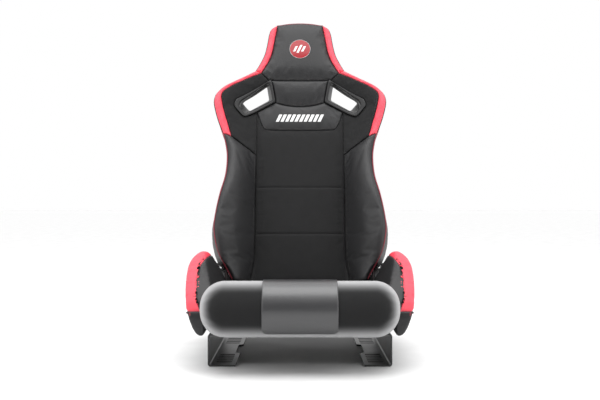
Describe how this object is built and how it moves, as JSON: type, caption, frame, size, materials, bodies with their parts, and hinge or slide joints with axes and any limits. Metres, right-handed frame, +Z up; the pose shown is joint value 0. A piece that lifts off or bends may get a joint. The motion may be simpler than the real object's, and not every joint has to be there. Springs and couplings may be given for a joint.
{
  "type": "reclining racing seat",
  "caption": "Reclining racing bucket seat with padded side bolsters, harness slots, red edge trim, slide rails and floor brackets.",
  "frame": {"origin": "bottom centre of the bounding box, on the plane the floor brackets stand on", "axes": "+Z up, -Y the way the seat faces, +X the occupant's left"},
  "size_m": [0.572, 0.7838, 0.9246],
  "materials": {
    "black_leather": "satin grained synthetic leather",
    "insert_leather": "smooth satin synthetic leather",
    "red_leather": "satin grained synthetic leather",
    "seat_fabric": "fine black woven fabric",
    "roll_cover": "black velour with a pale sheen at grazing angles",
    "foam": "cold cured foam",
    "black_plastic": "fine grained moulding",
    "shell_plastic": "textured moulding",
    "black_steel": "black powder coat",
    "bright_steel": "zinc plated",
    "spring_steel": "oiled spring wire",
    "emblem": "gloss domed disc"
  },
  "bodies": {
    "mount_rails": {"left_floor_bracket": "black_steel", "right_floor_bracket": "black_steel", "left_lower_rail": "bright_steel", "right_lower_rail": "bright_steel", "left_front_rail_nut": "bright_steel", "right_front_rail_nut": "bright_steel", "left_rear_rail_nut": "bright_steel", "right_rear_rail_nut": "bright_steel"},
    "seat_base": {"left_upper_rail": "bright_steel", "right_upper_rail": "bright_steel", "seat_pan": "black_steel", "cushion_spring_mat": "spring_steel", "front_roll": "roll_cover", "front_roll_insert": "insert_leather", "cushion_foam": "foam", "cushion_cover": "seat_fabric", "left_base_bolster": "black_leather", "right_base_bolster": "black_leather", "left_base_side_panel": "black_leather", "right_base_side_panel": "black_leather", "left_base_trim": "red_leather", "right_base_trim": "red_leather", "left_recliner_base_plate": "black_steel", "right_recliner_base_plate": "black_steel", "left_recliner_guide_disc": "bright_steel", "right_recliner_guide_disc": "bright_steel", "left_clock_spring": "spring_steel", "right_clock_spring": "spring_steel", "left_hinge_cover": "black_plastic", "right_hinge_cover": "black_plastic"},
    "backrest": {"back_frame": "black_steel", "left_recliner_arm": "black_steel", "right_recliner_arm": "black_steel", "left_recliner_tooth_disc": "bright_steel", "right_recliner_tooth_disc": "bright_steel", "back_spring_mat": "spring_steel", "back_foam": "foam", "back_centre_panel": "seat_fabric", "left_shoulder_wing": "seat_fabric", "right_shoulder_wing": "seat_fabric", "left_back_bolster": "black_leather", "right_back_bolster": "black_leather", "left_back_side_panel": "black_leather", "right_back_side_panel": "black_leather", "left_shoulder_trim": "red_leather", "right_shoulder_trim": "red_leather", "head_pad": "black_leather", "left_head_trim": "red_leather", "right_head_trim": "red_leather", "bridge_pad": "black_leather", "yoke_panel": "black_leather", "left_harness_bezel": "black_plastic", "right_harness_bezel": "black_plastic", "emblem_disc": "emblem", "back_shell": "shell_plastic"},
    "recline_release": {"sync_rod": "bright_steel", "left_recline_lever": "black_plastic", "right_recline_lever": "black_plastic"},
    "slide_release": {"slide_release_bar": "black_steel"}
  },
  "joints": [
    {"name": "seat_slide", "type": "slide", "parent": "mount_rails", "child": "seat_base", "axis": [0, -1, 0], "range_m": [-0.06, 0.12]},
    {"name": "backrest_recline", "type": "hinge", "parent": "seat_base", "child": "backrest", "pos_m": [0, 0.15157, 0.162], "axis": [-1, 0, 0], "range_deg": [-8, 50]},
    {"name": "recline_lever_lift", "type": "hinge", "parent": "seat_base", "child": "recline_release", "pos_m": [0, 0.15157, 0.162], "axis": [-1, 0, 0], "range_deg": [0, 25], "stiffness_Nm_per_rad": 3, "springref_deg": -17.19},
    {"name": "slide_bar_lift", "type": "hinge", "parent": "seat_base", "child": "slide_release", "pos_m": [0, -0.18043, 0.1025], "axis": [-1, 0, 0], "range_deg": [0, 8], "stiffness_Nm_per_rad": 4, "springref_deg": -14.32}
  ]
}
